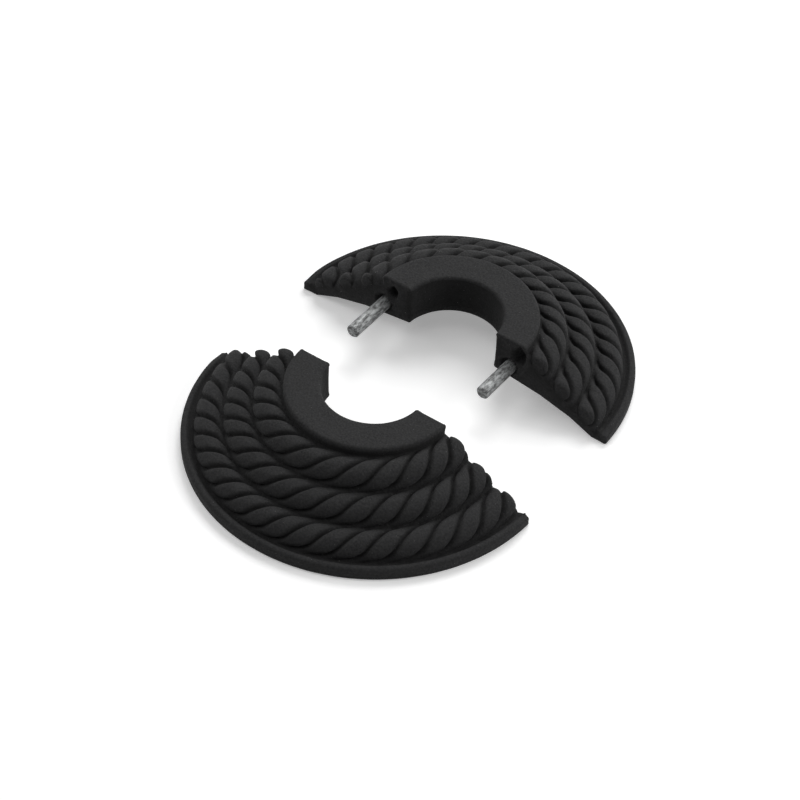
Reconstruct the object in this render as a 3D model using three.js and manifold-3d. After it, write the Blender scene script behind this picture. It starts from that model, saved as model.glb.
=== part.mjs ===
// Two-piece cast pipe rose (escutcheon) with rope moulding.
// The rose is a stepped disc with a pipe bore, split through its middle. Two dowel pins are
// fixed in the back half, and the front half slides onto them to close around a pipe.
// Millimetres. +Z is up and the rim stands on Z = 0. The split runs along X, and the front
// half closes along +Y. The origin is midway between the two bore centres.

import * as THREE from 'three';
import { mergeVertices } from 'three/addons/utils/BufferGeometryUtils.js';
import Module from 'manifold-3d';

const wasm = await Module();
wasm.setup();

// ---- driving dimensions -------------------------------------------------------------------

// Rim
const rimRadius = 52.5;
const rimHeight = 4.0;
const rimRound = 0.6;
const ledgeWidth = 3.1;

// Collar around the pipe
const boreRadius = 14.25;
const collarRadius = 24.5;
const collarHeight = 20.5;
const collarRound = 0.7;
const collarStep = 2.4; // collar top above the foot of its wall

// Rope rings, which step down from the collar to the ledge
const ropeCount = 3;
const ropeCrown = 2.4; // rise of each ring above the slope that joins its two edges

// Hollow underside, deepest at the bore and running out to nothing at the foot
const hollowDepth = 7.5;
const hollowMidRadius = 30.0;
const hollowMidDepth = 5.7;
const hollowOuterRadius = 40.0;
const hollowOuterDepth = 3.2;
const footWidth = 5.9;
const footRound = 0.4;

// Split between the halves
const splitGap = 0.5; // gap left when the rose is closed
const openSpread = 36.7; // distance between the bore centres when the halves lie apart

// Dowel pins. Both are cut from one rod, and they stand out of the back half unequally.
const pinRadius = 2.0;
const pinChamfer = 0.45;
const pinLength = 25.0;
const pinSpacing = 43.0;
const pinShift = -2.1; // from the middle of the bore to midway between the pins
const pinHeight = 10.2;
const leftPinReach = 15.0; // length that stands out of the back half
const rightPinReach = 13.0;

// Holes for the pins
const seatClearance = 0.12; // around a pin in its fixed hole
const seatEndGap = 0.4;
const socketClearance = 0.35; // around a pin in the front half's socket
const socketEndGap = 1.5;
const mouthClearance = 0.6; // around a pin where it comes out of the back half
const mouthDepth = 1.8;
const mouthShiftUp = 0.6;

// Small cast pocket up and to the right of each pin
const pocketRadius = 2.1;
const pocketDepth = 3.0;
const pocketShiftRight = 3.1;
const pocketBelowTop = 4.5; // from the collar's top to the pocket's middle

// Facets
const turnSteps = 72;
const ropeSteps = 6;
const roundSteps = 3;
const holeSteps = 24;

// ---- finishes -----------------------------------------------------------------------------

const blackCasting = { color: 0x1d1d1e, roughness: 0.72, metalness: 0.25 };
const zincSteel = { color: 0x84868a, roughness: 0.45, metalness: 0.9 };

// ---- helpers ------------------------------------------------------------------------------

/** A closed three.js geometry as a solid that can be joined and cut. */
function toSolid(geometry) {
  const bare = geometry.clone();
  bare.deleteAttribute('normal');
  bare.deleteAttribute('uv');
  const merged = mergeVertices(bare, 1e-5);
  return new wasm.Manifold(new wasm.Mesh({
    numProp: 3,
    vertProperties: new Float32Array(merged.attributes.position.array),
    triVerts: new Uint32Array(merged.index.array),
  }));
}

/** The triangles of a solid as a three.js geometry. */
function toGeometry(solid) {
  const mesh = solid.getMesh();
  const geometry = new THREE.BufferGeometry();
  geometry.setAttribute('position', new THREE.BufferAttribute(mesh.vertProperties, 3));
  geometry.setIndex(new THREE.BufferAttribute(mesh.triVerts, 1));
  geometry.computeVertexNormals();
  return geometry;
}

/** A named mesh with its own material. */
function namedMesh(name, geometry, finish) {
  const mesh = new THREE.Mesh(geometry, new THREE.MeshStandardMaterial(finish));
  mesh.name = name;
  return mesh;
}

/** Points on a circular arc in the section plane, both ends included. */
function arcPoints(centre, radius, fromAngle, toAngle, steps) {
  const points = [];
  for (let i = 0; i <= steps; i += 1) {
    const angle = fromAngle + ((toAngle - fromAngle) * i) / steps;
    points.push(new THREE.Vector2(
      centre.x + radius * Math.cos(angle),
      centre.y + radius * Math.sin(angle),
    ));
  }
  return points;
}

/** A quarter-round on a square corner, starting at the angle given. */
function cornerRound(cornerX, cornerY, radius, inX, inY, fromAngle) {
  const centre = new THREE.Vector2(cornerX + inX * radius, cornerY + inY * radius);
  return arcPoints(centre, radius, fromAngle, fromAngle + Math.PI / 2, roundSteps);
}

/** A round plug along Y, centred on X and Z, from startY to endY. */
function plugAlongY(radius, x, z, startY, endY) {
  const plug = new THREE.CylinderGeometry(radius, radius, Math.abs(endY - startY), holeSteps);
  plug.translate(x, (startY + endY) / 2, z);
  return toSolid(plug);
}

// ---- section of the rose ------------------------------------------------------------------

const ledgeInnerRadius = rimRadius - ledgeWidth;
const collarFootHeight = collarHeight - collarStep;
const ropePitch = (ledgeInnerRadius - collarRadius) / ropeCount;
const slopePerMm = (collarFootHeight - rimHeight) / (ledgeInnerRadius - collarRadius);

/** Height of the slope that carries the ropes, at a radius. */
function slopeHeight(radius) {
  return rimHeight + slopePerMm * (ledgeInnerRadius - radius);
}

/** Outline of one rope ring's crown, from its outer edge to its inner edge. */
function ropeCrownPoints(ring) {
  const outerRadius = ledgeInnerRadius - ring * ropePitch;
  const outer = new THREE.Vector2(outerRadius, slopeHeight(outerRadius));
  const inner = new THREE.Vector2(outerRadius - ropePitch, slopeHeight(outerRadius - ropePitch));
  const chord = outer.distanceTo(inner);
  const radius = (chord * chord) / (8 * ropeCrown) + ropeCrown / 2;
  const across = inner.clone().sub(outer).divideScalar(chord);
  const down = new THREE.Vector2(-across.y, across.x);
  const centre = outer.clone().add(inner).multiplyScalar(0.5);
  centre.addScaledVector(down, radius - ropeCrown);
  const fromAngle = Math.atan2(outer.y - centre.y, outer.x - centre.x);
  const toAngle = Math.atan2(inner.y - centre.y, inner.x - centre.x);
  return arcPoints(centre, radius, fromAngle, toAngle, ropeSteps).slice(0, ropeSteps);
}

/** Closed section of the rose, anticlockwise, with radius as x and height as y. */
function rosePoints() {
  const footInnerRadius = rimRadius - footWidth;
  const points = [];
  points.push(...cornerRound(rimRadius, 0, footRound, -1, 1, -Math.PI / 2));
  points.push(...cornerRound(rimRadius, rimHeight, rimRound, -1, -1, 0));
  for (let ring = 0; ring < ropeCount; ring += 1) {
    points.push(...ropeCrownPoints(ring));
  }
  points.push(new THREE.Vector2(collarRadius, collarFootHeight));
  points.push(...cornerRound(collarRadius, collarHeight, collarRound, -1, -1, 0));
  points.push(...cornerRound(boreRadius, collarHeight, collarRound, 1, -1, Math.PI / 2));
  points.push(...cornerRound(boreRadius, hollowDepth, collarRound, 1, 1, Math.PI));
  points.push(new THREE.Vector2(hollowMidRadius, hollowMidDepth));
  points.push(new THREE.Vector2(hollowOuterRadius, hollowOuterDepth));
  points.push(new THREE.Vector2(footInnerRadius, 0));
  points.push(points[0].clone());
  return points;
}

/** The whole rose as one turned solid, before it is split. */
function turnedRose() {
  const rose = new THREE.LatheGeometry(rosePoints(), turnSteps);
  rose.rotateX(Math.PI / 2);
  return toSolid(rose);
}

/** A block that holds everything on one side of the split, past half the split gap. */
function sideBlock(side) {
  const size = 4 * rimRadius;
  const block = new THREE.BoxGeometry(size, size, size);
  block.translate(0, side * (size / 2 + splitGap / 2), 0);
  return toSolid(block);
}

// ---- sub-parts ----------------------------------------------------------------------------

const pins = [
  { name: 'left_pin', x: pinShift - pinSpacing / 2, reach: leftPinReach },
  { name: 'right_pin', x: pinShift + pinSpacing / 2, reach: rightPinReach },
];

/** Back half, with a fixed hole, a mouth and a pocket for each pin. */
function backHalf() {
  const face = splitGap / 2;
  let half = turnedRose().intersect(sideBlock(1));
  for (const { x, reach } of pins) {
    const seatEnd = face + pinLength - reach + seatEndGap;
    const mouthZ = pinHeight + mouthShiftUp;
    const pocketX = x + pocketShiftRight;
    const pocketZ = collarHeight - pocketBelowTop;
    const cuts = [
      plugAlongY(pinRadius + seatClearance, x, pinHeight, -1, seatEnd),
      plugAlongY(pinRadius + mouthClearance, x, mouthZ, -1, face + mouthDepth),
      plugAlongY(pocketRadius, pocketX, pocketZ, -1, face + pocketDepth),
    ];
    for (const cut of cuts) {
      half = half.subtract(cut);
    }
  }
  const mesh = namedMesh('back_half', toGeometry(half), blackCasting);
  mesh.position.y = openSpread / 2;
  return mesh;
}

/** Front half, with a blind socket for each pin. */
function frontHalf() {
  const face = -splitGap / 2;
  let half = turnedRose().intersect(sideBlock(-1));
  for (const { x, reach } of pins) {
    const socketEnd = face - reach - socketEndGap;
    half = half.subtract(plugAlongY(pinRadius + socketClearance, x, pinHeight, 1, socketEnd));
  }
  const mesh = namedMesh('front_half', toGeometry(half), blackCasting);
  mesh.position.y = -openSpread / 2;
  return mesh;
}

/** One dowel pin along Y, chamfered at both ends, held by the back half. */
function dowelPin({ name, x, reach }) {
  const end = pinLength / 2;
  const outline = [
    new THREE.Vector2(0, -end),
    new THREE.Vector2(pinRadius - pinChamfer, -end),
    new THREE.Vector2(pinRadius, -end + pinChamfer),
    new THREE.Vector2(pinRadius, end - pinChamfer),
    new THREE.Vector2(pinRadius - pinChamfer, end),
    new THREE.Vector2(0, end),
  ];
  const pin = toGeometry(toSolid(new THREE.LatheGeometry(outline, holeSteps)));
  const mesh = namedMesh(name, pin, zincSteel);
  const faceY = openSpread / 2 + splitGap / 2;
  mesh.position.set(x, faceY - reach + end, pinHeight);
  return mesh;
}

// ---- the rose, halves apart ---------------------------------------------------------------

const rose = new THREE.Group();
rose.add(backHalf());
for (const pin of pins) {
  rose.add(dowelPin(pin));
}
rose.add(frontHalf());

export default rose;
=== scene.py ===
# %% [markdown]
# # A split pipe rose with rope moulding
#
# A pipe rose is the collar that hides the hole where a pipe goes through a floor or a wall.
# This one is cast iron with a black sandy coat. It is cut in two through its middle, so it can
# be put round a pipe that is already in place. Two short steel dowels in the back half find two
# sockets in the front half. Here the halves lie apart on a white table.
#
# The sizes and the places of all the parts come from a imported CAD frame. Blender adds what CAD
# leaves out: the twisted strands of the three ropes, soft cast edges, and the finishes.

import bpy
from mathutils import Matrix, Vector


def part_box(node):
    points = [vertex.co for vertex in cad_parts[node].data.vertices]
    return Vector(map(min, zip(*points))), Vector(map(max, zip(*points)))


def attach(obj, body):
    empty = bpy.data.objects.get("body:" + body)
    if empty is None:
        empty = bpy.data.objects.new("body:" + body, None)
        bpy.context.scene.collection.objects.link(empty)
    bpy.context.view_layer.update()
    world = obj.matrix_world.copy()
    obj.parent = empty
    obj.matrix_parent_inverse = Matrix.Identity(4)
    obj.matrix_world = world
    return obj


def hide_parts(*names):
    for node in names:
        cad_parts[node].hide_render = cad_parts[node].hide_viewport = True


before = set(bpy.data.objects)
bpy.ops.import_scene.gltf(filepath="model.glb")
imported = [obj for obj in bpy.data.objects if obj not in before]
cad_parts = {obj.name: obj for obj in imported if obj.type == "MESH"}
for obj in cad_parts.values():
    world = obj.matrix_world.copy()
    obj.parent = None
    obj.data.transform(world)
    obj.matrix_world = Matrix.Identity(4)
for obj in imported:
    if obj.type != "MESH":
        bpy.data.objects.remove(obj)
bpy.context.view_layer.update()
print("CAD nodes:", sorted(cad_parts))

# %% Other modules and the millimetre
import math

import bmesh
import bpy
import numpy as np
from mathutils import Quaternion, Vector
from mathutils.geometry import delaunay_2d_cdt

MM = 0.001
scene = bpy.context.scene
print("Blender", bpy.app.version_string)

# %% [markdown]
# ## Camera
#
# The object is a small one on a table, seen through a long lens from about 44 degrees above it
# and from the front right. A long lens keeps the circles of the rose close to true ellipses. The
# camera is placed by two angles and a distance from the point that it looks at, because those
# are the easiest numbers to change one at a time.

# %% Place the camera
CAMERA_TURN = math.radians(34.53)      # round the object, 0 looks straight at the split
CAMERA_RISE = math.radians(44.27)      # above the table
CAMERA_ROLL = math.radians(2.26)
CAMERA_DISTANCE = 735 * MM
CAMERA_LENS = 118.6
AIM_POINT = Vector((-2.8, -1.5, 0.0)) * MM


def direction_from(turn, rise):
    """Unit vector from the object towards something at these two angles."""
    return Vector((
        math.sin(turn) * math.cos(rise),
        -math.cos(turn) * math.cos(rise),
        math.sin(rise),
    ))


def place_camera():
    data = bpy.data.cameras.new("table_camera")
    data.lens = CAMERA_LENS
    data.sensor_width = 36.0
    data.clip_start = 0.05
    data.clip_end = 20.0
    camera = bpy.data.objects.new("table_camera", data)
    back = direction_from(CAMERA_TURN, CAMERA_RISE)
    camera.location = AIM_POINT + back * CAMERA_DISTANCE
    camera.rotation_mode = "QUATERNION"
    level = (-back).to_track_quat("-Z", "Y")
    camera.rotation_quaternion = level @ Quaternion((0, 0, 1), CAMERA_ROLL)
    scene.collection.objects.link(camera)
    scene.camera = camera
    return camera


camera = place_camera()
print("camera at", [round(value, 3) for value in camera.location], "m")

# %% [markdown]
# ## Table and light
#
# The table is plain white and runs out to white, and the only thing on it is the soft shadow of
# the casting. A white diffuse floor does not reach white under these soft panels. Its material
# adds a little light of its own, which only rays from the camera, a mirror or glass see, so the
# table reaches white and the shadow stays. Far from the object, where the panels' light falls
# off, its own light grows to full. The light is a large soft panel behind the object, three more
# at the right, at the left and overhead, and a faint glow from all round.

# %% Light Path helper
def studio_rays(tree):
    """1 for rays that look straight at a thing, or by a mirror or glass, and 0 for light."""
    light_path = tree.nodes.new("ShaderNodeLightPath")
    straight_or_mirror = tree.nodes.new("ShaderNodeMath")
    straight_or_mirror.operation = "MAXIMUM"
    tree.links.new(light_path.outputs["Is Camera Ray"], straight_or_mirror.inputs[0])
    tree.links.new(light_path.outputs["Is Glossy Ray"], straight_or_mirror.inputs[1])
    any_view = tree.nodes.new("ShaderNodeMath")
    any_view.operation = "MAXIMUM"
    tree.links.new(straight_or_mirror.outputs[0], any_view.inputs[0])
    tree.links.new(light_path.outputs["Is Transmission Ray"], any_view.inputs[1])
    return any_view.outputs[0]


# %% White table
TABLE_WHITE = 0.90
TABLE_OWN_LIGHT = 0.32
TABLE_NEAR, TABLE_FAR = 0.3, 0.9       # metres from the middle, between which that light grows
TABLE_REACH = 3.0                      # metres from the middle to each side


def far_floor_light(tree):
    """The table's own light: faint around the object, full far away from it."""
    place = tree.nodes.new("ShaderNodeTexCoord").outputs["Object"]
    away = tree.nodes.new("ShaderNodeVectorMath")
    away.operation = "LENGTH"
    tree.links.new(place, away.inputs[0])
    light = tree.nodes.new("ShaderNodeMapRange")
    light.inputs["From Min"].default_value = TABLE_NEAR
    light.inputs["From Max"].default_value = TABLE_FAR
    light.inputs["To Min"].default_value = TABLE_OWN_LIGHT
    light.inputs["To Max"].default_value = 1.0
    tree.links.new(away.outputs["Value"], light.inputs["Value"])
    return light.outputs["Result"]


def white_table_material():
    material = bpy.data.materials.new("white_table")
    material.use_nodes = True
    tree = material.node_tree
    tree.nodes.clear()
    seen = studio_rays(tree)
    diffuse = tree.nodes.new("ShaderNodeBsdfDiffuse")
    diffuse.inputs["Color"].default_value = (TABLE_WHITE, TABLE_WHITE, TABLE_WHITE, 1)
    own_light = tree.nodes.new("ShaderNodeEmission")
    strength = tree.nodes.new("ShaderNodeMath")
    strength.operation = "MULTIPLY"
    tree.links.new(seen, strength.inputs[0])
    tree.links.new(far_floor_light(tree), strength.inputs[1])
    tree.links.new(strength.outputs[0], own_light.inputs["Strength"])
    both = tree.nodes.new("ShaderNodeAddShader")
    tree.links.new(diffuse.outputs[0], both.inputs[0])
    tree.links.new(own_light.outputs[0], both.inputs[1])
    # from below the table is clear, so the underside of the casting can be looked at
    side = tree.nodes.new("ShaderNodeNewGeometry")
    clear = tree.nodes.new("ShaderNodeBsdfTransparent")
    one_sided = tree.nodes.new("ShaderNodeMixShader")
    tree.links.new(side.outputs["Backfacing"], one_sided.inputs["Fac"])
    tree.links.new(both.outputs[0], one_sided.inputs[1])
    tree.links.new(clear.outputs[0], one_sided.inputs[2])
    output = tree.nodes.new("ShaderNodeOutputMaterial")
    tree.links.new(one_sided.outputs[0], output.inputs["Surface"])
    return material


def add_table():
    reach = TABLE_REACH
    mesh = bpy.data.meshes.new("table")
    corners = [(-reach, -reach, 0), (reach, -reach, 0), (reach, reach, 0), (-reach, reach, 0)]
    mesh.from_pydata(corners, [], [(0, 1, 2, 3)])
    mesh.materials.append(white_table_material())
    table = bpy.data.objects.new("table", mesh)
    scene.collection.objects.link(table)
    return table


table = add_table()
print("table", [round(side, 2) for side in table.dimensions], "m")

# %% Glow from all round
SURROUND_LEVEL = 0.02


def light_surround():
    world = bpy.data.worlds.new("studio_surround")
    scene.world = world
    world.use_nodes = True
    tree = world.node_tree
    tree.nodes.clear()
    seen = studio_rays(tree)
    level = tree.nodes.new("ShaderNodeMapRange")
    tree.links.new(seen, level.inputs["Value"])
    level.inputs["To Min"].default_value = SURROUND_LEVEL
    level.inputs["To Max"].default_value = 1.0
    background = tree.nodes.new("ShaderNodeBackground")
    background.inputs["Color"].default_value = (1, 1, 1, 1)
    tree.links.new(level.outputs["Result"], background.inputs["Strength"])
    output = tree.nodes.new("ShaderNodeOutputWorld")
    tree.links.new(background.outputs[0], output.inputs["Surface"])


light_surround()
print("surround level", SURROUND_LEVEL)

# %% Soft panels
# name, turn and rise in degrees, distance and width in metres, power in watts
PANELS = (
    ("back_panel", 198, 48, 1.0, 0.6, 7.0),
    ("top_panel", 0, 82, 1.1, 0.8, 1.8),
    ("left_panel", -60, 35, 1.2, 0.6, 3.2),
    ("right_panel", 115, 30, 1.2, 0.6, 6.0),
)


def soft_panel(name, turn, rise, distance, width, power):
    """A square area light that looks at the object from these two angles."""
    data = bpy.data.lights.new(name, "AREA")
    data.shape = "SQUARE"
    data.size = width
    data.energy = power
    panel = bpy.data.objects.new(name, data)
    towards = direction_from(math.radians(turn), math.radians(rise))
    panel.location = towards * distance
    panel.rotation_mode = "QUATERNION"
    panel.rotation_quaternion = (-towards).to_track_quat("-Z", "Y")
    scene.collection.objects.link(panel)
    return panel


for row in PANELS:
    soft_panel(*row)
scene.view_settings.view_transform = "Standard"
print("lights:", [light.name for light in bpy.data.lights])

# %% [markdown]
# ## Black sandy coat
#
# The castings are coated black, and the coat has a fine sandy skin like a baked powder coat on
# rough iron. Close to, it is not one colour: grains catch the light, patches differ a little,
# and a few grains are bright. Noise textures on Object coordinates give all of that without any
# image, and the grain's noise drives colour, roughness and bump, so they agree with each other.
# Shade is also painted into the coat: it is darker in the grooves, the trough and the bore.

# %% Node helpers for materials
def new_material(name):
    material = bpy.data.materials.new(name)
    material.use_nodes = True
    tree = material.node_tree
    return material, tree, tree.nodes["Principled BSDF"]


def noise(tree, coordinates, scale, detail=2.0, roughness=0.5):
    """Value of a noise texture; scale is in waves per metre."""
    node = tree.nodes.new("ShaderNodeTexNoise")
    node.inputs["Scale"].default_value = scale
    node.inputs["Detail"].default_value = detail
    node.inputs["Roughness"].default_value = roughness
    tree.links.new(coordinates, node.inputs["Vector"])
    return node.outputs["Fac"]


def remap(tree, value, low_in, high_in, low_out, high_out):
    node = tree.nodes.new("ShaderNodeMapRange")
    tree.links.new(value, node.inputs["Value"])
    node.inputs["From Min"].default_value = low_in
    node.inputs["From Max"].default_value = high_in
    node.inputs["To Min"].default_value = low_out
    node.inputs["To Max"].default_value = high_out
    return node.outputs["Result"]


def blend_colours(tree, share, first, second):
    """Mix of two colours; each is a tuple or another node's output."""
    node = tree.nodes.new("ShaderNodeMix")
    node.data_type = "RGBA"
    tree.links.new(share, node.inputs["Factor"])
    for socket, colour in ((node.inputs["A"], first), (node.inputs["B"], second)):
        if isinstance(colour, tuple):
            socket.default_value = (*colour, 1)
        else:
            tree.links.new(colour, socket)
    return node.outputs["Result"]


def calc(tree, operation, *values):
    """One Math node; each value is a number or another node's output."""
    node = tree.nodes.new("ShaderNodeMath")
    node.operation = operation
    for socket, value in zip(node.inputs, values):
        if isinstance(value, (int, float)):
            socket.default_value = value
        else:
            tree.links.new(value, socket)
    return node.outputs[0]


# %% The black coat
COAT_DARK = (0.018, 0.018, 0.0185)
COAT_LIGHT = (0.034, 0.034, 0.0345)
COAT_SPECK = (0.14, 0.14, 0.14)
# colour of the shade painted into the grooves, the trough and the bore
COAT_PAINTED_SHADE = (0.011, 0.011, 0.011)
COAT_GRAIN_HEIGHT = 0.16 * MM


def black_coat():
    material, tree, shader = new_material("black_casting")
    coordinates = tree.nodes.new("ShaderNodeTexCoord").outputs["Object"]
    grain = noise(tree, coordinates, 1900, 3.0, 0.6)
    patches = noise(tree, coordinates, 140, 3.0, 0.55)
    specks = noise(tree, coordinates, 2600, 1.0, 0.5)
    colour = blend_colours(tree, remap(tree, grain, 0.3, 0.7, 0, 1), COAT_DARK, COAT_LIGHT)
    worn = remap(tree, patches, 0.35, 0.75, 0, 0.35)
    colour = blend_colours(tree, worn, colour, COAT_LIGHT)
    # painted shade: the coat turns darker where the rope relief tree marks grooves and shaded hollows
    groove = tree.nodes.new("ShaderNodeAttribute")
    groove.attribute_name = "painted_shade_mask"
    colour = blend_colours(tree, groove.outputs["Fac"], colour, COAT_PAINTED_SHADE)
    colour = blend_colours(tree, remap(tree, specks, 0.77, 0.80, 0, 1), colour, COAT_SPECK)
    tree.links.new(colour, shader.inputs["Base Color"])
    tree.links.new(remap(tree, grain, 0.3, 0.7, 0.90, 0.78), shader.inputs["Roughness"])
    shader.inputs["Specular IOR Level"].default_value = 0.12
    pits = noise(tree, coordinates, 620, 3.0, 0.6)
    height = calc(tree, "ADD", grain, calc(tree, "MULTIPLY", pits, 1.6))
    bump = tree.nodes.new("ShaderNodeBump")
    bump.inputs["Strength"].default_value = 0.9
    bump.inputs["Distance"].default_value = COAT_GRAIN_HEIGHT
    tree.links.new(height, bump.inputs["Height"])
    tree.links.new(bump.outputs["Normal"], shader.inputs["Normal"])
    return material


BLACK_COAT = black_coat()
print("black coat has", len(BLACK_COAT.node_tree.nodes), "nodes")

# %% [markdown]
# ## Zinc on the dowels
#
# The dowels are plain steel rod with a dull zinc skin: grey, blotched, darker where the zinc has
# worn or oxidised, with faint marks along the rod. The blotches are drawn out along the rod by a
# Mapping node that squeezes the coordinates in that direction.

# %% The zinc skin
ZINC_LIGHT = (0.34, 0.35, 0.35)
ZINC_DARK = (0.10, 0.10, 0.10)
ZINC_GRAIN_HEIGHT = 0.08 * MM


def zinc_skin():
    material, tree, shader = new_material("zinc_steel")
    coordinates = tree.nodes.new("ShaderNodeTexCoord").outputs["Object"]
    along = tree.nodes.new("ShaderNodeMapping")
    along.inputs["Scale"].default_value = (1.0, 0.35, 1.0)
    tree.links.new(coordinates, along.inputs["Vector"])
    blotches = noise(tree, along.outputs["Vector"], 1300, 5.0, 0.65)
    scratches = noise(tree, along.outputs["Vector"], 4200, 2.0, 0.6)
    dull = remap(tree, blotches, 0.40, 0.62, 0, 1)
    colour = blend_colours(tree, dull, ZINC_LIGHT, ZINC_DARK)
    tree.links.new(colour, shader.inputs["Base Color"])
    tree.links.new(remap(tree, blotches, 0.40, 0.62, 0.60, 0.85), shader.inputs["Roughness"])
    shader.inputs["Metallic"].default_value = 0.55
    height = calc(tree, "ADD", blotches, calc(tree, "MULTIPLY", scratches, 0.4))
    bump = tree.nodes.new("ShaderNodeBump")
    bump.inputs["Strength"].default_value = 0.6
    bump.inputs["Distance"].default_value = ZINC_GRAIN_HEIGHT
    tree.links.new(height, bump.inputs["Height"])
    tree.links.new(bump.outputs["Normal"], shader.inputs["Normal"])
    return material


ZINC_SKIN = zinc_skin()
print("zinc skin has", len(ZINC_SKIN.node_tree.nodes), "nodes")

# %% [markdown]
# ## Section of the rose
#
# The rose is a turned shape: one outline, swept round the pipe. The outline starts under the
# rim, goes up over the rim and a flat ledge, down into a soft trough, over three rope crowns that
# climb like stairs, then up a short wall to the flat collar, down the bore, and back under the
# hollow side. It is written here in millimetres, with the distance from the pipe's middle first
# and the height second. The rim's radius, the collar's top and the places of the two halves come
# from the CAD boxes, so they follow the CAD. The other sizes are typed here.

# %% Main sizes, in millimetres
back_low, back_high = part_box("back_half")
RIM_RADIUS = (back_high.x - back_low.x) / 2 / MM
COLLAR_TOP = back_high.z / MM
BACK_CENTRE = back_high.y / MM - RIM_RADIUS
FRONT_CENTRE = -BACK_CENTRE
FACE_SET_BACK = back_low.y / MM - BACK_CENTRE
RIM_HEIGHT = 4.0
ROPE_OUTER = 48.9
COLLAR_RADIUS = 24.5
BORE_RADIUS = 14.25
HOLLOW = ((BORE_RADIUS, 7.5), (30.0, 5.7), (40.0, 3.2), (46.6, 0.0))    # radius and height
print("rim radius", round(RIM_RADIUS, 3), "collar top", round(COLLAR_TOP, 2))
print("bore centres at y", round(BACK_CENTRE, 3), "and", round(FRONT_CENTRE, 3))

# %% Outline pieces
def straight(start, end, steps):
    """Points on a line, without the last one."""
    return [
        (start[0] + (end[0] - start[0]) * i / steps, start[1] + (end[1] - start[1]) * i / steps)
        for i in range(steps)
    ]


def arc(centre, radius, from_degrees, to_degrees, steps):
    """Points on an arc, without the last one."""
    points = []
    for i in range(steps):
        angle = math.radians(from_degrees + (to_degrees - from_degrees) * i / steps)
        points.append((
            centre[0] + radius * math.cos(angle),
            centre[1] + radius * math.sin(angle),
        ))
    return points


# %% Three rope crowns
ROPE_COUNT = 3
ROPE_PITCH = (ROPE_OUTER - COLLAR_RADIUS) / ROPE_COUNT
VALLEY_HEIGHTS = (2.9, 7.5, 12.4, 17.4)     # from the ledge up to the foot of the collar
ROPE_CROWN = (3.2, 3.05, 3.25)                # rise of each crown above its chord
ROPE_STEPS = 32


def rope_crown(ring):
    """Points over one crown from its outer edge to its inner edge, with the last one left out."""
    outer = np.array((ROPE_OUTER - ring * ROPE_PITCH, VALLEY_HEIGHTS[ring]))
    inner = np.array((outer[0] - ROPE_PITCH, VALLEY_HEIGHTS[ring + 1]))
    chord = np.linalg.norm(inner - outer)
    sagitta = ROPE_CROWN[ring]
    radius = chord * chord / (8 * sagitta) + sagitta / 2
    across = (inner - outer) / chord
    outwards = np.array((across[1], -across[0]))
    centre = (outer + inner) / 2 - outwards * (radius - sagitta)
    start = math.degrees(math.atan2(outer[1] - centre[1], outer[0] - centre[0]))
    end = math.degrees(math.atan2(inner[1] - centre[1], inner[0] - centre[0]))
    return arc(centre, radius, start, end, ROPE_STEPS)


for ring in range(ROPE_COUNT):
    crest = max(point[1] for point in rope_crown(ring))
    print("rope", ring + 1, "crest at", round(crest, 2), "mm")

# %% The whole outline
RIM_ROUND = 1.2
FOOT_ROUND = 0.8
COLLAR_ROUND = 1.0
LEDGE_WIDTH = 1.8                      # from the rim's outside to where the trough starts
TROUGH_HEIGHT = 2.9
TROUGH_GAP = 0.9                       # from the trough's lowest point to the rope
TROUGH_LIFT = 0.5                      # by which the trough fills up at its two ends
LIP_DROP = 1.0                         # by which the rim's top sinks at its two ends
HOLLOW_LIP = 0.9                       # how much further out the hollow ends, on a soft edge
NEXT_ROPE = 3.0                        # added to the place across from one rope to the next
OFF_ROPE = 9.0                         # place across for points that are on no rope
NO_LIMIT = 9.0                         # larger than any edge radius
# radius of the rounded edge at the split, for each part of the outline
EDGE_RIM, EDGE_LEDGE, EDGE_ROPE = 0.9, 0.7, 1.8
EDGE_COLLAR, EDGE_BORE, EDGE_UNDER = 0.9, 1.3, 0.7


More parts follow.
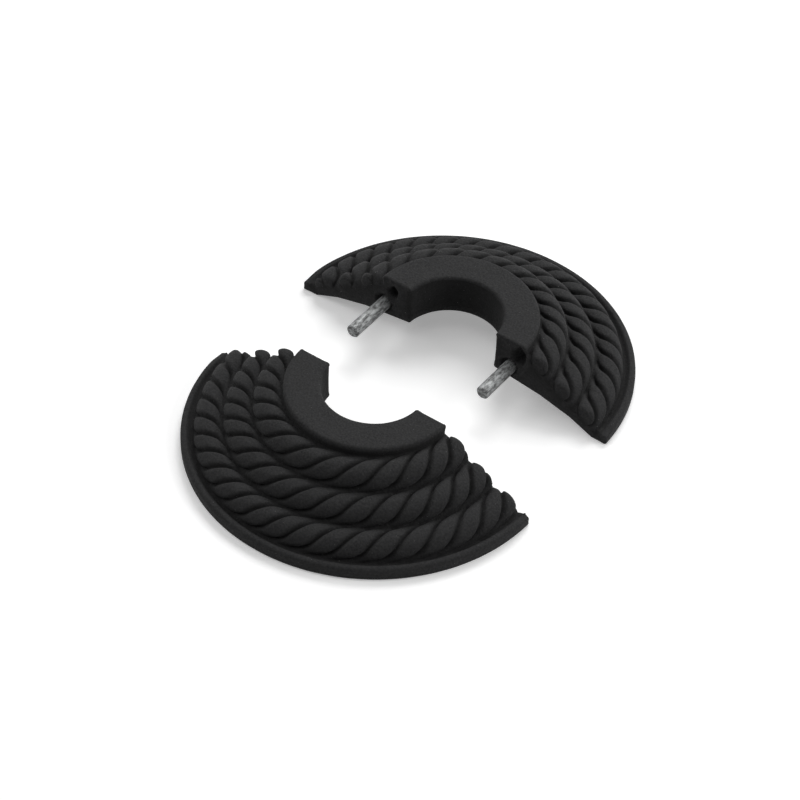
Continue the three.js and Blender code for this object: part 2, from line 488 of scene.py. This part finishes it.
def rose_outline():
    """Outline of (radius, height), then each point's place across its rope, edge radius,
    painted shade and rise at the split. Shade is painted into the coat in the bore, the trough
    and the valleys, and on the wall of the collar."""
    points, place, edge, limit, dull, rise = [], [], [], [], [], []

    def add(some, edge_size, across=None, most=NO_LIMIT, painted_shade=0.0, end_lift=0.0):
        points.extend(some)
        place.extend(across if across is not None else [OFF_ROPE] * len(some))
        edge.extend([edge_size] * len(some))
        limit.extend([most] * len(some))
        dull.extend([painted_shade] * len(some))
        rise.extend([end_lift] * len(some))

    def corner(x, z, radius, start, end, steps, edge_size):
        """A rounded corner, whose edge at the split stays smaller than the corner itself."""
        add(arc((x, z), radius, start, end, steps), edge_size, most=0.6 * radius)

    rim_top = RIM_HEIGHT - RIM_ROUND
    ledge_end = (RIM_RADIUS - LEDGE_WIDTH, RIM_HEIGHT)
    trough = (ROPE_OUTER + TROUGH_GAP, TROUGH_HEIGHT)
    collar_foot = VALLEY_HEIGHTS[ROPE_COUNT]
    collar_edge = COLLAR_TOP - COLLAR_ROUND
    bore_foot = HOLLOW[0][1] + COLLAR_ROUND
    outside, inside = COLLAR_RADIUS - COLLAR_ROUND, BORE_RADIUS + COLLAR_ROUND
    corner(RIM_RADIUS - FOOT_ROUND, FOOT_ROUND, FOOT_ROUND, -90, 0, 3, EDGE_UNDER)
    add(straight((RIM_RADIUS, FOOT_ROUND), (RIM_RADIUS, rim_top), 3), EDGE_RIM)
    corner(RIM_RADIUS - RIM_ROUND, rim_top, RIM_ROUND, 0, 90, 5, EDGE_RIM)
    # so far the outline is the rim's outside, which sinks more the higher a point is
    rise[:] = [-LIP_DROP * z / RIM_HEIGHT for _, z in points]
    add(straight((RIM_RADIUS - RIM_ROUND, RIM_HEIGHT), ledge_end, 2), EDGE_LEDGE, most=0.25,
        end_lift=-LIP_DROP)
    # the darkening given below, in the trough, on the collar wall and in the bore, is painted shade
    add(straight(ledge_end, trough, 2), EDGE_LEDGE, most=0.35, painted_shade=0.3,
        end_lift=-0.5 * LIP_DROP)
    add(straight(trough, (ROPE_OUTER, VALLEY_HEIGHTS[0]), 1), EDGE_LEDGE, painted_shade=0.6,
        end_lift=TROUGH_LIFT)
    for ring in range(ROPE_COUNT):
        across = [-1 + 2 * i / ROPE_STEPS for i in range(ROPE_STEPS)]
        add(rope_crown(ring), EDGE_ROPE, [NEXT_ROPE * ring + value for value in across])
        # painted shade in the valleys at the rope's edges, growing towards each valley
        dull[-ROPE_STEPS:] = [0.7 * abs(value) ** 8 for value in across]
    add(straight((COLLAR_RADIUS, collar_foot), (COLLAR_RADIUS, collar_edge), 4), EDGE_COLLAR,
        painted_shade=0.5)
    corner(outside, collar_edge, COLLAR_ROUND, 0, 90, 5, EDGE_COLLAR)
    add(straight((outside, COLLAR_TOP), (inside, COLLAR_TOP), 6), EDGE_COLLAR)
    corner(inside, collar_edge, COLLAR_ROUND, 90, 180, 5, EDGE_COLLAR)
    add(straight((BORE_RADIUS, collar_edge), (BORE_RADIUS, bore_foot), 7), EDGE_BORE, painted_shade=0.8)
    corner(inside, bore_foot, COLLAR_ROUND, 180, 265, 4, EDGE_COLLAR)
    foot = (HOLLOW[3][0] + HOLLOW_LIP, 0.0)
    under = [(inside, HOLLOW[0][1] - 0.05), *HOLLOW[1:3], (foot[0] - 0.6, 0.3), foot,
             (RIM_RADIUS - FOOT_ROUND, 0.0)]
    for start, end, steps in zip(under, under[1:], (4, 3, 3, 1, 2)):
        add(straight(start, end, steps), EDGE_UNDER)
    # a running mean over seven points, so that the edge radius changes softly along the outline
    soft = np.convolve(np.r_[edge[-3:], edge, edge[:3]], np.full(7, 1 / 7), mode="valid")
    return [np.array(row) for row in (points, place, np.minimum(soft, limit), dull, rise)]


outline, place_across, edge_radius, painted_shade_levels, end_rise = rose_outline()
print("outline has", len(outline), "points")

# %% [markdown]
# ## Sweeping one half
#
# Each half is the outline swept through half a turn and cut off just short of the split. A cast
# edge is never sharp, so the last few columns pull the outline in along a quarter circle before
# the flat split face closes the solid. Near its two ends the rim also sinks a little and the
# trough fills up, so that the step between them is softer there. Four things are kept on every
# point for the next step: where it is across its rope, how many strands it is along the rope,
# how much shade is painted into the coat there, and which way is out.

# %% Outward direction of the outline
def outline_outward(points):
    """Unit normals that point out of the material, for an anticlockwise outline."""
    along = np.roll(points, -1, axis=0) - np.roll(points, 1, axis=0)
    outward = np.stack((along[:, 1], -along[:, 0]), axis=1)
    return outward / np.linalg.norm(outward, axis=1)[:, None]


outward = outline_outward(outline)
print("outward at the rim:", outward[7].round(2))

# %% Sweep
EDGE_STEPS = 5
TURN_STEPS = 600
END_REACH = 4.5                        # how far from the split the rim's sinking reaches
FAR_ACROSS = 2.0                       # kept as the place across for points on no rope


def half_columns():
    """For each column, its share of the way between the two ends, and its turn into the edge."""
    columns = [(0.0, math.pi / 2 * i / EDGE_STEPS) for i in range(EDGE_STEPS, 0, -1)]
    columns += [(i / TURN_STEPS, 0.0) for i in range(TURN_STEPS + 1)]
    columns += [(1.0, math.pi / 2 * i / EDGE_STEPS) for i in range(1, EDGE_STEPS + 1)]
    return columns


def half_points(side):
    """Points of one half about its own bore, as (columns, outline, xyz), with their angles."""
    columns = half_columns()
    places = np.zeros((len(columns), len(outline), 3))
    angles = np.zeros((len(columns), len(outline)))
    for c, (share, fold) in enumerate(columns):
        inset = edge_radius * (1 - math.cos(fold))
        lift = FACE_SET_BACK + edge_radius * (1 - math.sin(fold))
        radius = outline[:, 0] - inset * outward[:, 0]
        height = outline[:, 1] - inset * outward[:, 1]
        end_angle = np.arcsin(lift / radius)
        angle = end_angle + share * (math.pi - 2 * end_angle)
        places[c, :, 0] = side * radius * np.cos(angle)
        places[c, :, 1] = side * radius * np.sin(angle)
        from_split = np.abs(places[c, :, 1]) - FACE_SET_BACK
        places[c, :, 2] = height + end_rise * np.exp(-(from_split / END_REACH) ** 2)
        angles[c] = angle
    return places, angles


trial_places, _ = half_points(1)
print("one half:", trial_places.shape[0], "columns of", trial_places.shape[1], "points")

# %% Mesh of one half
# for each rope, outermost first: strands in a whole turn, the first groove's angle from the
# half's end, how many strands the uneven spacing drifts, and where in the turn, in degrees
ROPES = {
    "back_casting": ((43.2, 5.7, 0.16, 92), (34.0, 4.6, 0.07, 312), (25.7, 6.4, 0.12, 317)),
    "front_casting": ((41.0, 6.8, 0.38, 217), (35.3, 4.6, 0.20, 306), (26.9, 5.5, 0.24, 312)),
}


def strands_along(ropes, angles, ring_of_point):
    """How many strands a point is along its rope, counted from the first groove."""
    count, first, drift, place = (np.array(column)[ring_of_point] for column in zip(*ropes))
    evenly = (angles - np.radians(first)) * count / (2 * math.pi)
    return evenly + drift * np.sin(2 * angles + np.radians(place))


def swept_half(name, side, centre_y):
    """The skin of one half, open at the split, with the numbers that the rope relief needs."""
    places, angles = half_points(side)
    columns, count = places.shape[:2]
    vertices = places.reshape(-1, 3) * MM
    vertices[:, 1] += centre_y * MM
    faces = []
    for c in range(columns - 1):
        for p in range(count):
            q = (p + 1) % count
            faces.append((c * count + p, c * count + q, (c + 1) * count + q, (c + 1) * count + p))
    mesh = bpy.data.meshes.new(name)
    mesh.from_pydata(vertices.tolist(), [], faces)
    mesh.polygons.foreach_set("use_smooth", [True] * len(faces))
    ring = np.clip(np.round(place_across / NEXT_ROPE), 0, ROPE_COUNT - 1).astype(int)
    across = np.where(place_across == OFF_ROPE, FAR_ACROSS, place_across - NEXT_ROPE * ring)
    store(mesh, "across_rope", "FLOAT", np.tile(across, columns))
    store(mesh, "along_rope", "FLOAT", strands_along(ROPES[name], angles, ring).ravel())
    # the painted shade of each point
    store(mesh, "dull", "FLOAT", np.tile(painted_shade_levels, columns))
    out = np.zeros((columns, count, 3))
    out[:, :, 0] = side * outward[:, 0] * np.cos(angles)
    out[:, :, 1] = side * outward[:, 0] * np.sin(angles)
    out[:, :, 2] = outward[:, 1]
    store(mesh, "outward", "FLOAT_VECTOR", out.reshape(-1, 3))
    return mesh


def store(mesh, name, kind, values):
    attribute = mesh.attributes.new(name, kind, "POINT")
    field = "vector" if kind == "FLOAT_VECTOR" else "value"
    attribute.data.foreach_set(field, np.asarray(values, np.float32).ravel())


back_mesh = swept_half("back_casting", 1, BACK_CENTRE)
front_mesh = swept_half("front_casting", -1, FRONT_CENTRE)
print("each half starts with", len(back_mesh.polygons), "faces")

# %% [markdown]
# ## Twisting the ropes
#
# A twisted rope shows a row of slanted leaves with a curved groove between each two. On the
# rope's round side each groove is a helix, so in the numbers kept above it is nearly a straight
# line, which bends only at the rope's edges. A Geometry Nodes tree works out how far each point
# is from the nearest groove and pushes it in by a soft valley. It could be modelled strand by
# strand, but one rule keeps the strands alike, and its inputs can be changed in one place. The
# tree also keeps where shade is painted, in the grooves and the other shaded places, for the coat's
# colour.

# %% Tree inputs
ROPE_INPUTS = {
    "Lay": 0.60,                # strands that a groove passes from the crest to an edge
    "Tail": 0.45,               # strands more that it passes in its last stretch, at the edge
    "Strand width": 5.3 * MM,   # measured square to the groove
    "Groove depth": 1.05 * MM,
    "Groove width": 0.60 * MM,
    "Leaf rounding": 0.32 * MM,
    "Scallop": 0.8 * MM,        # how much the leaves draw in at the rope's edges, at a groove
    "Unevenness": 0.10 * MM,
    "Waver": 0.10,              # how far a groove strays from its place, in strands
    "Seed": 7.0,
}


def input_sockets(tree):
    """Makes one named number input for each size and returns them by name."""
    tree.interface.new_socket("Geometry", in_out="INPUT", socket_type="NodeSocketGeometry")
    tree.interface.new_socket("Geometry", in_out="OUTPUT", socket_type="NodeSocketGeometry")
    return {
        name: tree.interface.new_socket(name, in_out="INPUT", socket_type="NodeSocketFloat")
        for name in ROPE_INPUTS
    }


def kept_number(tree, name, kind="FLOAT"):
    node = tree.nodes.new("GeometryNodeInputNamedAttribute")
    node.data_type = kind
    node.inputs["Name"].default_value = name
    return node.outputs["Attribute"]


def seeded_noise(tree, seed, scale):
    """Noise from -0.5 to 0.5 about nought, with the seed as its fourth coordinate."""
    node = tree.nodes.new("ShaderNodeTexNoise")
    node.noise_dimensions = "4D"
    node.inputs["Scale"].default_value = scale
    node.inputs["Detail"].default_value = 2.0
    tree.links.new(seed, node.inputs["W"])
    position = tree.nodes.new("GeometryNodeInputPosition").outputs["Position"]
    tree.links.new(position, node.inputs["Vector"])
    return calc(tree, "SUBTRACT", node.outputs["Fac"], 0.5)


# %% The rope relief tree
def groove_distance(tree, sizes):
    """Distance to the nearest groove, as a share of a strand: 0 in it, 0.5 on a leaf's top."""
    across = kept_number(tree, "across_rope")
    along = kept_number(tree, "along_rope")
    waver = calc(tree, "MULTIPLY", seeded_noise(tree, sizes["Seed"], 130), sizes["Waver"])
    tail = calc(tree, "MULTIPLY", calc(tree, "POWER", across, 7.0), sizes["Tail"])
    slant = calc(tree, "ADD", calc(tree, "MULTIPLY", across, sizes["Lay"]), tail)
    strand = calc(tree, "SUBTRACT", calc(tree, "ADD", along, waver), slant)
    share = calc(tree, "FRACT", strand)
    return calc(tree, "MINIMUM", share, calc(tree, "SUBTRACT", 1.0, share))


def on_rope(tree, power):
    """1 over the rope, fading to 0 in the valleys at its edges and 0 off the rope."""
    across = calc(tree, "ABSOLUTE", kept_number(tree, "across_rope"))
    inside = calc(tree, "SUBTRACT", 1.0, calc(tree, "POWER", across, power))
    return calc(tree, "MAXIMUM", inside, 0.0)


def rope_relief_tree():
    tree = bpy.data.node_groups.new("rope_relief", "GeometryNodeTree")
    sockets = input_sockets(tree)
    start = tree.nodes.new("NodeGroupInput")
    sizes = {name: start.outputs[name] for name in ROPE_INPUTS}
    apart = groove_distance(tree, sizes)
    metres = calc(tree, "MULTIPLY", apart, sizes["Strand width"])
    narrow = calc(tree, "DIVIDE", metres, sizes["Groove width"])
    groove = calc(tree, "EXPONENT", calc(tree, "MULTIPLY", calc(tree, "MULTIPLY", narrow, narrow), -1.0))
    slope = calc(tree, "SUBTRACT", 1.0, calc(tree, "MULTIPLY", apart, 2.0))
    leaf = calc(tree, "POWER", slope, 3.0)
    fade = on_rope(tree, 14.0)
    shoulder = calc(tree, "SUBTRACT", fade, on_rope(tree, 3.0))
    depth = calc(tree, "ADD", calc(tree, "MULTIPLY", groove, sizes["Groove depth"]),
                 calc(tree, "MULTIPLY", leaf, sizes["Leaf rounding"]))
    depth = calc(tree, "ADD", calc(tree, "MULTIPLY", depth, fade),
                 calc(tree, "MULTIPLY", calc(tree, "MULTIPLY", slope, shoulder), sizes["Scallop"]))
    bumps = calc(tree, "ADD", seeded_noise(tree, sizes["Seed"], 260), 0.5)
    rough = calc(tree, "MULTIPLY", bumps, sizes["Unevenness"])
    push = calc(tree, "MULTIPLY", calc(tree, "ADD", depth, rough), -1.0)
    offset = tree.nodes.new("ShaderNodeVectorMath")
    offset.operation = "SCALE"
    tree.links.new(kept_number(tree, "outward", "FLOAT_VECTOR"), offset.inputs[0])
    tree.links.new(push, offset.inputs["Scale"])
    # keeps the mask of painted shade on every point, for the coat's colour
    keep = tree.nodes.new("GeometryNodeStoreNamedAttribute")
    keep.data_type = "FLOAT"
    keep.domain = "POINT"
    keep.inputs["Name"].default_value = "painted_shade_mask"
    tree.links.new(start.outputs["Geometry"], keep.inputs["Geometry"])
    # painted shade: the grooves on the ropes, and the shaded places that the outline lists
    painted_shade = calc(tree, "MAXIMUM", calc(tree, "MULTIPLY", groove, fade), kept_number(tree, "dull"))
    tree.links.new(painted_shade, keep.inputs["Value"])
    move = tree.nodes.new("GeometryNodeSetPosition")
    tree.links.new(keep.outputs["Geometry"], move.inputs["Geometry"])
    tree.links.new(offset.outputs["Vector"], move.inputs["Offset"])
    realize = tree.nodes.new("GeometryNodeRealizeInstances")
    tree.links.new(move.outputs["Geometry"], realize.inputs["Geometry"])
    coat = tree.nodes.new("GeometryNodeSetMaterial")
    coat.inputs["Material"].default_value = BLACK_COAT
    tree.links.new(realize.outputs["Geometry"], coat.inputs["Geometry"])
    end = tree.nodes.new("NodeGroupOutput")
    tree.links.new(coat.outputs["Geometry"], end.inputs["Geometry"])
    return tree, {name: socket.identifier for name, socket in sockets.items()}


ROPE_RELIEF, ROPE_SOCKETS = rope_relief_tree()
print("rope relief tree has", len(ROPE_RELIEF.nodes), "nodes and inputs", list(ROPE_SOCKETS))

# %% Run the tree on each half
def evaluated_mesh(thing, name):
    """The object's mesh with its modifiers in it, as a plain mesh."""
    bpy.context.view_layer.update()
    graph = bpy.context.evaluated_depsgraph_get()
    made = bpy.data.meshes.new_from_object(thing.evaluated_get(graph), depsgraph=graph)
    made.name = name
    return made


def bake_modifiers(thing):
    """Swaps the object's mesh for the evaluated one and takes the modifiers off."""
    made = evaluated_mesh(thing, thing.name)
    thing.modifiers.clear()
    thing.data = made


def casting(name, mesh):
    thing = bpy.data.objects.new(name, mesh)
    scene.collection.objects.link(thing)
    relief = thing.modifiers.new("rope_relief", "NODES")
    relief.node_group = ROPE_RELIEF
    for size, value in ROPE_INPUTS.items():
        relief[ROPE_SOCKETS[size]] = value
    bake_modifiers(thing)
    return thing


back_casting = casting("back_casting", back_mesh)
front_casting = casting("front_casting", front_mesh)
for half in (back_casting, front_casting):
    print(half.name, "has", len(half.data.polygons), "faces")

# %% [markdown]
# ## Split faces
#
# The two ends of each half are plain flat faces. The swept skin is still open there, and its
# last column is a closed outline with bays in it, so a fan of triangles from one point would
# cross the outline. A Delaunay triangulation that keeps the outline's edges fills it with flat
# triangles and needs no new points, as long as the outline does not cross itself.

# %% Close the split faces
def close_ends(mesh):
    """Fills the two split faces with flat triangles and points all faces outwards."""
    count = len(outline)
    around = [(p, (p + 1) % count) for p in range(count)]
    work = bmesh.new()
    work.from_mesh(mesh)
    work.verts.ensure_lookup_table()
    for start in (0, len(work.verts) - count):
        ends = [work.verts[start + p] for p in range(count)]
        flat = [Vector((vert.co.x, vert.co.z)) / MM for vert in ends]
        points, _, triangles, origins, _, _ = delaunay_2d_cdt(flat, around, [], 1, 1e-6)
        print("cap of", count, "points gives", len(points), "and", len(triangles), "triangles")
        for triangle in triangles:
            cap = work.faces.new([ends[origins[corner][0]] for corner in triangle])
            cap.smooth = False
    bmesh.ops.recalc_face_normals(work, faces=work.faces)
    work.to_mesh(mesh)
    work.free()


for half in (back_casting, front_casting):
    close_ends(half.data)
    print(half.name, "closed with", len(half.data.polygons), "faces")

# %% [markdown]
# ## Holes for the dowels
#
# In the back half each dowel sits in a drilled hole, the casting has a wider, uneven mouth round
# it, and a small pocket is cast above and to the right of it. In the front half the sockets are
# plain and blind. The cutters are turned shapes with a flared lip, so the cut edges are soft like
# the rest of the casting, and Boolean modifiers take them out of the flat split face.

# %% Turned shapes along Y
def turned_along_y(name, outline_yr, centre_x, centre_z, steps, material, taller=1.0, lobes=0.0):
    """A closed turned mesh; the outline is a list of (y, radius) that starts and ends at 0.

    Taller stretches it along Z, and lobes makes its round uneven, as a share of the radius."""
    work = bmesh.new()
    rings = []
    for y, radius in outline_yr:
        if radius == 0:
            rings.append([work.verts.new((centre_x * MM, y * MM, centre_z * MM))])
            continue
        ring = []
        for i in range(steps):
            angle = 2 * math.pi * i / steps
            uneven = 1 + lobes * (0.6 * math.sin(3 * angle + centre_x) + 0.4 * math.sin(5 * angle))
            x = centre_x + radius * uneven * math.cos(angle)
            z = centre_z + radius * uneven * taller * math.sin(angle)
            ring.append(work.verts.new((x * MM, y * MM, z * MM)))
        rings.append(ring)
    for first, second in zip(rings, rings[1:]):
        for i in range(steps):
            corners = [first[i % len(first)], first[(i + 1) % len(first)],
                       second[(i + 1) % len(second)], second[i % len(second)]]
            work.faces.new(list(dict.fromkeys(corners)))
    bmesh.ops.recalc_face_normals(work, faces=work.faces)
    mesh = bpy.data.meshes.new(name)
    work.to_mesh(mesh)
    work.free()
    mesh.polygons.foreach_set("use_smooth", [True] * len(mesh.polygons))
    mesh.materials.append(material)
    thing = bpy.data.objects.new(name, mesh)
    scene.collection.objects.link(thing)
    return thing


# %% Cut the holes
pins = {}
for node in ("left_pin", "right_pin"):
    low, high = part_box(node)
    pins[node] = {
        "x": (low.x + high.x) / 2 / MM,
        "z": (low.z + high.z) / 2 / MM,
        "radius": (high.z - low.z) / 2 / MM,
        "tip": low.y / MM,
        "root": high.y / MM,
    }
    print(node, {key: round(value, 2) for key, value in pins[node].items()})

BACK_FACE = BACK_CENTRE + FACE_SET_BACK
FRONT_FACE = FRONT_CENTRE - FACE_SET_BACK
MOUTH_CLEARANCE = 0.6
MOUTH_DEPTH = 1.8
MOUTH_UP = 0.6
POCKET_DEPTH = 3.0
POCKET_RIGHT = 3.1                     # from the dowel's middle to the pocket's
POCKET_HEIGHT = COLLAR_TOP - 4.5
POCKETS = {"left_pin": (1.5, 1.35), "right_pin": (2.1, 1.5)}     # radius, and how much taller
HOLE_CLEARANCE = 0.12
HOLE_END_GAP = 0.4
SOCKET_CLEARANCE = 0.35
SOCKET_END_GAP = 1.5
DRILL_CONE = 0.6                       # length of the cone at the end of a drilled hole
CUTTER_START = 2.0                     # how far outside the split face a cutter starts
CUTTER_FACETS = 40


def hole_cutter(name, pin, clearance, face, depth, sign):
    """A drilled hole: straight, with a cone at its end and a small flare at its mouth."""
    radius = pin["radius"] + clearance
    outline_yr = [
        (face - sign * CUTTER_START, 0), (face - sign * CUTTER_START, radius + 1.0),
        (face, radius + 0.35), (face + sign * 0.12, radius + 0.15), (face + sign * 0.35, radius),
        (face + sign * (depth - DRILL_CONE), radius), (face + sign * depth, 0),
    ]
    return turned_along_y(name, outline_yr, pin["x"], pin["z"], CUTTER_FACETS, BLACK_COAT)


def recess_cutter(name, x, z, radius, depth, taller, lobes):
    """A soft, uneven recess cast into the back split face, with a flared lip."""
    outline_yr = [
        (BACK_FACE - CUTTER_START, 0), (BACK_FACE - CUTTER_START, radius + 2.2),
        (BACK_FACE, radius + 0.7), (BACK_FACE + 0.15, radius + 0.35),
        (BACK_FACE + 0.5, radius + 0.08), (BACK_FACE + 0.9, radius),
        (BACK_FACE + 0.7 * depth, radius * 0.88), (BACK_FACE + 0.93 * depth, radius * 0.6),
        (BACK_FACE + depth, 0),
    ]
    return turned_along_y(name, outline_yr, x, z, CUTTER_FACETS, BLACK_COAT, taller, lobes)


def mouth_cutter(name, pin):
    radius = pin["radius"] + MOUTH_CLEARANCE
    return recess_cutter(name, pin["x"], pin["z"] + MOUTH_UP, radius, MOUTH_DEPTH, 1.0, 0.06)


def pocket_cutter(name, pin, pocket):
    radius, taller = pocket
    return recess_cutter(
        name, pin["x"] + POCKET_RIGHT, POCKET_HEIGHT, radius, POCKET_DEPTH, taller, 0.12)


def cut_out(half, cutters):
    for cutter in cutters:
        cut = half.modifiers.new(cutter.name, "BOOLEAN")
        cut.operation = "DIFFERENCE"
        cut.solver = "MANIFOLD"
        cut.object = cutter
    bake_modifiers(half)
    for cutter in cutters:
        bpy.data.objects.remove(cutter)
    print(half.name, "after cutting:", len(half.data.polygons), "faces")


back_cutters, front_cutters = [], []
for node, pin in pins.items():
    hole_depth = pin["root"] - BACK_FACE + HOLE_END_GAP
    socket_depth = BACK_FACE - pin["tip"] + SOCKET_END_GAP
    back_cutters.append(hole_cutter(node + "_hole", pin, HOLE_CLEARANCE, BACK_FACE, hole_depth, 1))
    back_cutters.append(mouth_cutter(node + "_mouth", pin))
    back_cutters.append(pocket_cutter(node + "_pocket", pin, POCKETS[node]))
    front_cutters.append(
        hole_cutter(node + "_socket", pin, SOCKET_CLEARANCE, FRONT_FACE, socket_depth, -1))
cut_out(back_casting, back_cutters)
cut_out(front_casting, front_cutters)

# %% [markdown]
# ## Dowels
#
# Each dowel is a short length of round rod with a small chamfer at both ends. The rod is cut and
# handled roughly, so its surface is a little uneven. It is turned with many rings, and a second
# small Geometry Nodes tree presses seeded noise into it. It can only press inwards, so the
# dowel never grows past the hole that it sits in.

# %% Dent tree
def dent_tree():
    tree = bpy.data.node_groups.new("rod_dents", "GeometryNodeTree")
    tree.interface.new_socket("Geometry", in_out="INPUT", socket_type="NodeSocketGeometry")
    tree.interface.new_socket("Geometry", in_out="OUTPUT", socket_type="NodeSocketGeometry")
    depth = tree.interface.new_socket("Dent depth", in_out="INPUT", socket_type="NodeSocketFloat")
    seed = tree.interface.new_socket("Seed", in_out="INPUT", socket_type="NodeSocketFloat")
    start = tree.nodes.new("NodeGroupInput")
    dents = calc(tree, "ADD", seeded_noise(tree, start.outputs["Seed"], 700), 0.5)
    push = calc(tree, "MULTIPLY", calc(tree, "MULTIPLY", dents, start.outputs["Dent depth"]), -1.0)
    offset = tree.nodes.new("ShaderNodeVectorMath")
    offset.operation = "SCALE"
    normal = tree.nodes.new("GeometryNodeInputNormal").outputs["Normal"]
    tree.links.new(normal, offset.inputs[0])
    tree.links.new(push, offset.inputs["Scale"])
    move = tree.nodes.new("GeometryNodeSetPosition")
    tree.links.new(start.outputs["Geometry"], move.inputs["Geometry"])
    tree.links.new(offset.outputs["Vector"], move.inputs["Offset"])
    realize = tree.nodes.new("GeometryNodeRealizeInstances")
    tree.links.new(move.outputs["Geometry"], realize.inputs["Geometry"])
    skin = tree.nodes.new("GeometryNodeSetMaterial")
    skin.inputs["Material"].default_value = ZINC_SKIN
    tree.links.new(realize.outputs["Geometry"], skin.inputs["Geometry"])
    end = tree.nodes.new("NodeGroupOutput")
    tree.links.new(skin.outputs["Geometry"], end.inputs["Geometry"])
    return tree, {"depth": depth.identifier, "seed": seed.identifier}


ROD_DENTS, DENT_SOCKETS = dent_tree()
print("rod dent tree has", len(ROD_DENTS.nodes), "nodes")

# %% Turn the dowels
CHAMFER = 0.45
DENT_DEPTH = 0.07 * MM
DOWEL_RINGS = 90
DOWEL_FACETS = 64


def dowel(name, pin, seed):
    radius, tip, root = pin["radius"], pin["tip"], pin["root"]
    body = [(tip + CHAMFER + (root - tip - 2 * CHAMFER) * i / DOWEL_RINGS, radius)
            for i in range(DOWEL_RINGS + 1)]
    end_rings = [0.4, 0.8, 1.2]
    tip_face = [(tip, r) for r in end_rings] + [(tip, radius - CHAMFER)]
    root_face = [(root, radius - CHAMFER)] + [(root, r) for r in reversed(end_rings)]
    outline_yr = [(tip, 0)] + tip_face + body + root_face + [(root, 0)]
    rod = turned_along_y(name, outline_yr, pin["x"], pin["z"], DOWEL_FACETS, ZINC_SKIN)
    dents = rod.modifiers.new("rod_dents", "NODES")
    dents.node_group = ROD_DENTS
    dents[DENT_SOCKETS["depth"]] = DENT_DEPTH
    dents[DENT_SOCKETS["seed"]] = seed
    bake_modifiers(rod)
    return rod


left_dowel = dowel("left_dowel", pins["left_pin"], 3.0)
right_dowel = dowel("right_dowel", pins["right_pin"], 11.0)
print("dowels of", len(left_dowel.data.polygons), "faces each")

# %% [markdown]
# ## Riding on the frame
#
# The dowels are fixed in the back half, so they ride on its body. The front half slides towards
# it on its own body. Each new piece stands in for the plainer CAD node in the same place.

# %% Tie the pieces to the frame
RIDES = (
    (back_casting, "back_rose", "back_half", "black_casting"),
    (front_casting, "front_rose", "front_half", "black_casting"),
    (left_dowel, "back_rose", "left_pin", "zinc_steel"),
    (right_dowel, "back_rose", "right_pin", "zinc_steel"),
)
for piece, body, node, slot in RIDES:
    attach(piece, body)
    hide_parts(node)
    print(piece.name, "rides on", body, "and stands for", node)
